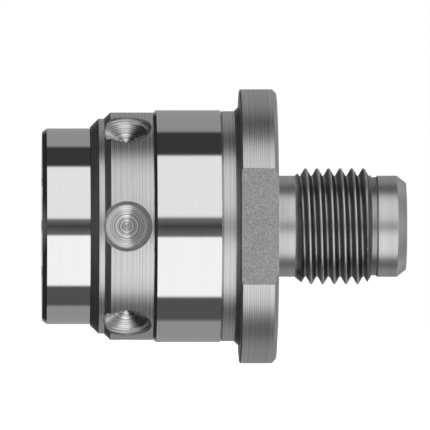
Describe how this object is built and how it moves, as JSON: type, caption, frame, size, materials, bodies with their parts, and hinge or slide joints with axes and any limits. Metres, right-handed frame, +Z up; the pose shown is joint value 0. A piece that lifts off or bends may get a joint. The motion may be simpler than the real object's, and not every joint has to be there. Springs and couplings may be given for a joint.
{
  "type": "drill chuck",
  "caption": "Small three-jaw drill chuck with a spanner-tightened collar, on an adapter with a wide flange, a male spindle thread and a pilot.",
  "frame": {"origin": "on the chuck's axis, in the flange's rear seat face", "axes": "+X along the axis towards the spindle thread, jaws towards -X; +Z up; the flange's flats face -Y and +Y"},
  "size_m": [0.0398, 0.0272, 0.03],
  "materials": {
    "polished_steel": "ground and polished bright",
    "turned_steel": "fine turned, satin",
    "hardened_steel": "hardened, ground",
    "thread_steel": "turned and thread-cut, satin",
    "bearing_steel": "hardened and lapped",
    "black_oxide_steel": "black oxide",
    "bronze": "plain bearing bronze",
    "seal_rubber": "moulded nitrile"
  },
  "bodies": {
    "chuck": {"chuck_body": "polished_steel", "nose_cap": "polished_steel", "front_thrust_washer": "bronze", "collar_o_ring": "seal_rubber", "rear_race": "bearing_steel", "mounting_arbor": "thread_steel", "arbor_screws": "black_oxide_steel", "arbor_dowel_pins": "hardened_steel"},
    "collar": {"clamping_collar": "turned_steel", "nut_half_upper": "hardened_steel", "nut_half_lower": "hardened_steel", "front_race": "bearing_steel"},
    "ball_set": {"bearing_balls": "bearing_steel", "ball_cage": "bronze"},
    "jaw_1": {"jaw_1": "hardened_steel"},
    "jaw_2": {"jaw_2": "hardened_steel"},
    "jaw_3": {"jaw_3": "hardened_steel"}
  },
  "joints": [
    {"name": "collar_spin", "type": "hinge", "parent": "chuck", "child": "collar", "pos_m": [-0.0169, 0, 0], "axis": [1, 0, 0], "range_deg": [0, 1440]},
    {"name": "jaw_1_slide", "type": "slide", "parent": "chuck", "child": "jaw_1", "axis": [-0.9511, 0, -0.309], "range_m": [0, 0.00631]},
    {"name": "jaw_2_slide", "type": "slide", "parent": "chuck", "child": "jaw_2", "axis": [-0.9511, 0.2676, 0.1545], "range_m": [0, 0.00631]},
    {"name": "jaw_3_slide", "type": "slide", "parent": "chuck", "child": "jaw_3", "axis": [-0.9511, -0.2676, 0.1545], "range_m": [0, 0.00631]},
    {"name": "ball_cage_orbit", "type": "hinge", "parent": "chuck", "child": "ball_set", "pos_m": [-0.01308, 0, 0], "axis": [1, 0, 0], "range_deg": [0, 721]}
  ],
  "couplings": [
    {"joint": "jaw_1_slide", "follows": "collar_spin", "m_per_rad": 0.00025102},
    {"joint": "jaw_2_slide", "follows": "collar_spin", "m_per_rad": 0.00025102},
    {"joint": "jaw_3_slide", "follows": "collar_spin", "m_per_rad": 0.00025102},
    {"joint": "ball_cage_orbit", "follows": "collar_spin", "ratio": 0.5}
  ]
}
